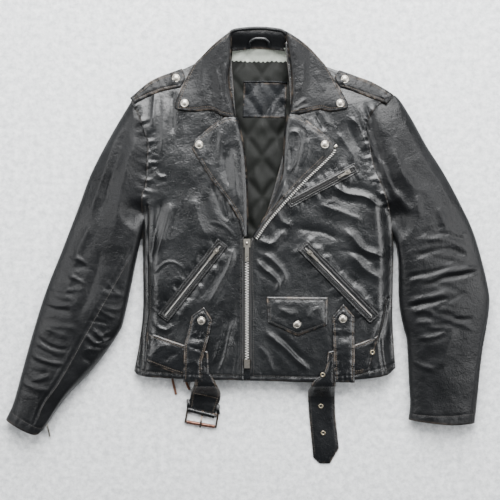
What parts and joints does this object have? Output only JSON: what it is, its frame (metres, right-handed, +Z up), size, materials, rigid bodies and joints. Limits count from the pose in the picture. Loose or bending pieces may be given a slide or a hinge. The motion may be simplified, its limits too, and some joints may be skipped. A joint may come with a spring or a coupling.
{
  "type": "leather jacket",
  "caption": "Waist-length black leather jacket with an asymmetric front zip, turned lapels, epaulettes, zipped slit pockets, coin pocket and buckled waist belt, lying flat.",
  "frame": {"origin": "middle of the jacket's outline, on the surface that its back lies on", "axes": "+X across the jacket towards its wearer's left sleeve, +Y from the hem to the collar, +Z up out of the front"},
  "size_m": [0.9072, 0.8116, 0.042],
  "materials": {
    "shell_leather": "black drum-dyed cowhide, glossy where worn, with fine creases",
    "strap_leather": "black belt leather, smoother and flatter, with pale raw edges",
    "inner_leather": "thin matt black facing leather",
    "quilted_lining": "dark green-black quilted satin",
    "pocket_cloth": "plain black cotton twill",
    "nickel": "nickel plate, a little dulled",
    "bronze_buckle": "worn plating with copper showing"
  },
  "bodies": {
    "root": {"back_panel": "shell_leather", "front_left": "shell_leather", "front_right": "shell_leather", "side_panel_left": "shell_leather", "side_panel_right": "shell_leather", "shoulder_yoke_left": "shell_leather", "shoulder_yoke_right": "shell_leather", "lining_back": "quilted_lining", "lining_front_left": "quilted_lining", "lining_front_right": "quilted_lining", "collar_stand": "inner_leather", "hanger_loop": "inner_leather", "zip_half_left": "nickel", "zip_half_right": "nickel", "zip_retainer_box": "nickel", "hand_left_welt": "shell_leather", "hand_left_zip": "nickel", "hand_right_welt": "shell_leather", "hand_right_zip": "nickel", "chest_zip": "nickel", "pocket_bag_left": "pocket_cloth", "pocket_bag_right": "pocket_cloth", "belt_left": "strap_leather", "belt_right": "strap_leather"},
    "collar_wing_left": {"collar_left": "shell_leather", "collar_snap_left": "nickel"},
    "collar_wing_right": {"collar_right": "shell_leather", "collar_snap_right": "nickel"},
    "lapel_flap_left": {"lapel_left": "shell_leather", "lapel_snap_left": "nickel"},
    "lapel_flap_right": {"lapel_right": "shell_leather", "lapel_snap_right": "nickel", "lapel_zip": "nickel"},
    "epaulette_strap_left": {"epaulette_left": "shell_leather", "epaulette_snap_left": "nickel"},
    "epaulette_strap_right": {"epaulette_right": "shell_leather", "epaulette_snap_right": "nickel"},
    "sleeve_left": {"sleeve_left_under": "shell_leather", "sleeve_left_top": "shell_leather"},
    "sleeve_right": {"sleeve_right_under": "shell_leather", "sleeve_right_top": "shell_leather"},
    "main_zip_slider": {"main_slider": "nickel"},
    "main_zip_pull": {"main_pull": "nickel"},
    "hand_zip_slider_left": {"hand_left_slider": "nickel"},
    "hand_zip_pull_left": {"hand_left_pull": "nickel"},
    "hand_zip_slider_right": {"hand_right_slider": "nickel"},
    "hand_zip_pull_right": {"hand_right_pull": "nickel"},
    "chest_zip_slider": {"chest_slider": "nickel"},
    "chest_zip_pull": {"chest_pull": "nickel"},
    "coin_pocket_flap": {"coin_flap": "shell_leather", "coin_flap_snap": "nickel"},
    "loop_left": {"belt_loop_left": "strap_leather", "belt_loop_snap_left": "nickel"},
    "loop_right": {"belt_loop_right": "strap_leather", "belt_loop_snap_right": "nickel"},
    "buckle_end": {"belt_buckle_end": "strap_leather"},
    "tongue_end": {"belt_tongue_end": "strap_leather"},
    "buckle": {"buckle_frame": "bronze_buckle"},
    "roller": {"buckle_roller": "bronze_buckle"},
    "prong": {"buckle_prong": "bronze_buckle"}
  },
  "joints": [
    {"name": "collar_left_turn", "type": "hinge", "parent": "root", "child": "collar_wing_left", "pos_m": [-0.04344, 0.25216, 0.0382], "axis": [0.0782, 0.9969, 0], "range_deg": [0, 85]},
    {"name": "collar_right_turn", "type": "hinge", "parent": "root", "child": "collar_wing_right", "pos_m": [0.09456, 0.25216, 0.0382], "axis": [0.1675, -0.9859, 0], "range_deg": [0, 85]},
    {"name": "lapel_left_turn", "type": "hinge", "parent": "root", "child": "lapel_flap_left", "pos_m": [-0.00644, 0.05016, 0.0382], "axis": [-0.0873, 0.9962, 0], "range_deg": [0, 85]},
    {"name": "lapel_right_turn", "type": "hinge", "parent": "root", "child": "lapel_flap_right", "pos_m": [0.04356, 0.08416, 0.0382], "axis": [-0.2079, -0.9782, 0], "range_deg": [0, 85]},
    {"name": "epaulette_left_lift", "type": "hinge", "parent": "root", "child": "epaulette_strap_left", "pos_m": [-0.21444, 0.28016, 0.0342], "axis": [0.4907, -0.8713, 0], "range_deg": [0, 80]},
    {"name": "epaulette_right_lift", "type": "hinge", "parent": "root", "child": "epaulette_strap_right", "pos_m": [0.25756, 0.28516, 0.0342], "axis": [0.4311, 0.9023, 0], "range_deg": [0, 80]},
    {"name": "sleeve_left_raise", "type": "hinge", "parent": "root", "child": "sleeve_left", "pos_m": [-0.19944, 0.09016, 0.042], "axis": [-0.1122, 0.9937, 0], "range_deg": [0, 60]},
    {"name": "sleeve_right_raise", "type": "hinge", "parent": "root", "child": "sleeve_right", "pos_m": [0.26556, 0.06316, 0.042], "axis": [0.0183, -0.9998, 0], "range_deg": [0, 60]},
    {"name": "main_zip_slide", "type": "slide", "parent": "root", "child": "main_zip_slider", "axis": [0, -1, 0], "range_m": [0, 0.205]},
    {"name": "main_pull_flip", "type": "hinge", "parent": "main_zip_slider", "child": "main_zip_pull", "pos_m": [-0.00244, 0.01016, 0.036], "axis": [-1, 0, 0], "range_deg": [0, 150]},
    {"name": "hand_zip_slide_left", "type": "slide", "parent": "root", "child": "hand_zip_slider_left", "axis": [-0.6196, -0.7849, 0], "range_m": [0, 0.135]},
    {"name": "hand_pull_flip_left", "type": "hinge", "parent": "hand_zip_slider_left", "child": "hand_zip_pull_left", "pos_m": [-0.06011, -0.00482, 0.0379], "axis": [-0.7849, 0.6196, 0], "range_deg": [0, 150]},
    {"name": "hand_zip_slide_right", "type": "slide", "parent": "root", "child": "hand_zip_slider_right", "axis": [0.6988, -0.7153, 0], "range_m": [0, 0.147]},
    {"name": "hand_pull_flip_right", "type": "hinge", "parent": "hand_zip_slider_right", "child": "hand_zip_pull_right", "pos_m": [0.11535, -0.00785, 0.0379], "axis": [-0.7153, -0.6988, 0], "range_deg": [0, 150]},
    {"name": "chest_zip_slide", "type": "slide", "parent": "root", "child": "chest_zip_slider", "axis": [-0.8838, -0.4679, 0], "range_m": [0, 0.1]},
    {"name": "chest_pull_flip", "type": "hinge", "parent": "chest_zip_slider", "child": "chest_zip_pull", "pos_m": [0.18619, 0.14261, 0.0379], "axis": [-0.4679, 0.8838, 0], "range_deg": [0, 150]},
    {"name": "coin_flap_lift", "type": "hinge", "parent": "root", "child": "coin_pocket_flap", "pos_m": [0.09156, -0.09284, 0.0342], "axis": [-1, 0, 0], "range_deg": [0, 120]},
    {"name": "loop_left_lift", "type": "hinge", "parent": "root", "child": "loop_left", "pos_m": [-0.10444, -0.24783, 0.0375], "axis": [1, 0, 0], "range_deg": [0, 85]},
    {"name": "loop_right_lift", "type": "hinge", "parent": "root", "child": "loop_right", "pos_m": [0.17956, -0.24783, 0.0375], "axis": [1, 0, 0], "range_deg": [0, 85]},
    {"name": "buckle_end_lift", "type": "hinge", "parent": "root", "child": "buckle_end", "pos_m": [-0.07544, -0.25054, 0.0346], "axis": [-1, 0, 0], "range_deg": [0, 80]},
    {"name": "tongue_end_lift", "type": "hinge", "parent": "root", "child": "tongue_end", "pos_m": [0.13756, -0.25054, 0.0346], "axis": [-1, 0, 0], "range_deg": [0, 80]},
    {"name": "buckle_turn", "type": "hinge", "parent": "buckle_end", "child": "buckle", "pos_m": [-0.08626, -0.30991, 0.0043], "axis": [-0.9856, 0.1692, 0], "range_deg": [0, 65]},
    {"name": "prong_lift", "type": "hinge", "parent": "buckle", "child": "prong", "pos_m": [-0.08626, -0.30991, 0.0043], "axis": [-0.9856, 0.1692, 0], "range_deg": [0, 70]},
    {"name": "roller_spin", "type": "hinge", "parent": "buckle", "child": "roller", "pos_m": [-0.09015, -0.33258, 0.0043], "axis": [0.9856, -0.1692, 0], "continuous": true}
  ]
}
